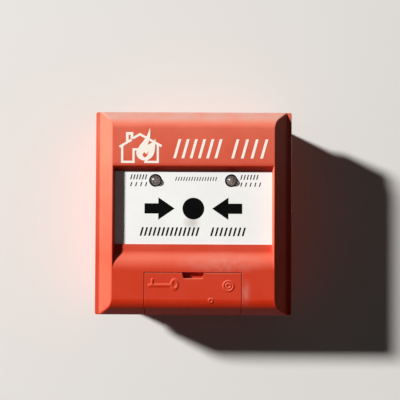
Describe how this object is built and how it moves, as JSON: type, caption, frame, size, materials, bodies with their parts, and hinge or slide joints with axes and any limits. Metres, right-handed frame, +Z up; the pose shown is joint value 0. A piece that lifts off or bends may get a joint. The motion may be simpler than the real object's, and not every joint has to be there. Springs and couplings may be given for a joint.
{
  "type": "manual call point",
  "caption": "Square wall-mounted fire alarm call point with a hinged white press plate, indicator lamps, and a flap over its key reset and telephone jack.",
  "frame": {"origin": "centre of the back box's rear face, on the wall", "axes": "+Z up, +Y into the wall, front faces -Y, +X to the viewer's right"},
  "size_m": [0.0954, 0.0455, 0.0984],
  "materials": {
    "red_plastic": "fine moulded satin",
    "white_plastic": "smooth satin",
    "black_plastic": "moulded",
    "grey_plastic": "moulded",
    "plunger_plastic": "moulded",
    "clear_lens": "clear",
    "board_green": "solder mask",
    "steel": "zinc plated",
    "nickel": "nickel plated",
    "brass": "bright",
    "seal_foam": "closed cell foam"
  },
  "bodies": {
    "housing": {"alarm_switch_body": "black_plastic", "back_box": "red_plastic", "base_plate": "grey_plastic", "base_screw_1": "steel", "base_screw_2": "steel", "base_screw_3": "steel", "base_screw_4": "steel", "board_screw_1": "steel", "board_screw_2": "steel", "box_seal": "seal_foam", "capacitor": "black_plastic", "chassis": "black_plastic", "chassis_screw_1": "steel", "chassis_screw_2": "steel", "chassis_screw_3": "steel", "chassis_screw_4": "steel", "circuit_board": "board_green", "contact_header_left": "brass", "contact_header_right": "brass", "contact_socket_left": "black_plastic", "contact_socket_right": "black_plastic", "controller_chip": "black_plastic", "cover_screw": "steel", "crystal": "nickel", "door_hinge_pin": "steel", "front_cover": "red_plastic", "jack_body": "black_plastic", "jack_bushing": "nickel", "jack_contact": "brass", "jack_nut": "nickel", "latch_spring": "steel", "led_left": "clear_lens", "led_right": "clear_lens", "led_spacer_left": "black_plastic", "led_spacer_right": "black_plastic", "notch_stop": "red_plastic", "plate_pivot_pin": "steel", "plate_spring_left": "steel", "plate_spring_right": "steel", "terminal_block_bottom": "black_plastic", "terminal_block_top": "black_plastic", "terminal_screw_bottom_1": "steel", "terminal_screw_bottom_2": "steel", "terminal_screw_bottom_3": "steel", "terminal_screw_top_1": "steel", "terminal_screw_top_2": "steel", "terminal_screw_top_3": "steel", "wire_clamp_bottom_1": "brass", "wire_clamp_bottom_2": "brass", "wire_clamp_bottom_3": "brass", "wire_clamp_top_1": "brass", "wire_clamp_top_2": "brass", "wire_clamp_top_3": "brass"},
    "press_plate": {"press_plate": "white_plastic"},
    "switch_plunger": {"alarm_switch_plunger": "plunger_plastic"},
    "reset_barrel": {"reset_barrel": "nickel", "barrel_clip": "steel"},
    "latch_slide": {"latch_slide": "steel"},
    "service_door": {"service_door": "red_plastic"}
  },
  "joints": [
    {"name": "plate_press", "type": "hinge", "parent": "housing", "child": "press_plate", "pos_m": [0, -0.0376, 0.0242], "axis": [1, 0, 0], "range_deg": [0, 4.5], "stiffness_Nm_per_rad": 3, "springref_deg": -2.86, "deforming": ["plate_spring_left", "plate_spring_right"]},
    {"name": "plunger_travel", "type": "slide", "parent": "housing", "child": "switch_plunger", "axis": [0, 1, 0], "range_m": [0, 0.0023]},
    {"name": "reset_turn", "type": "hinge", "parent": "housing", "child": "reset_barrel", "pos_m": [-0.015, -0.0345, -0.0334], "axis": [0, -1, 0], "range_deg": [0, 90]},
    {"name": "latch_lift", "type": "slide", "parent": "housing", "child": "latch_slide", "axis": [0, 0, 1], "range_m": [0, 0.002], "deforming": ["latch_spring"]},
    {"name": "door_swing", "type": "hinge", "parent": "housing", "child": "service_door", "pos_m": [0, -0.038, -0.046], "axis": [1, 0, 0], "range_deg": [0, 105]}
  ],
  "couplings": [
    {"joint": "plunger_travel", "follows": "plate_press", "m_per_rad": 0.0282},
    {"joint": "reset_turn", "follows": "latch_lift", "rad_per_m": 785.3}
  ]
}
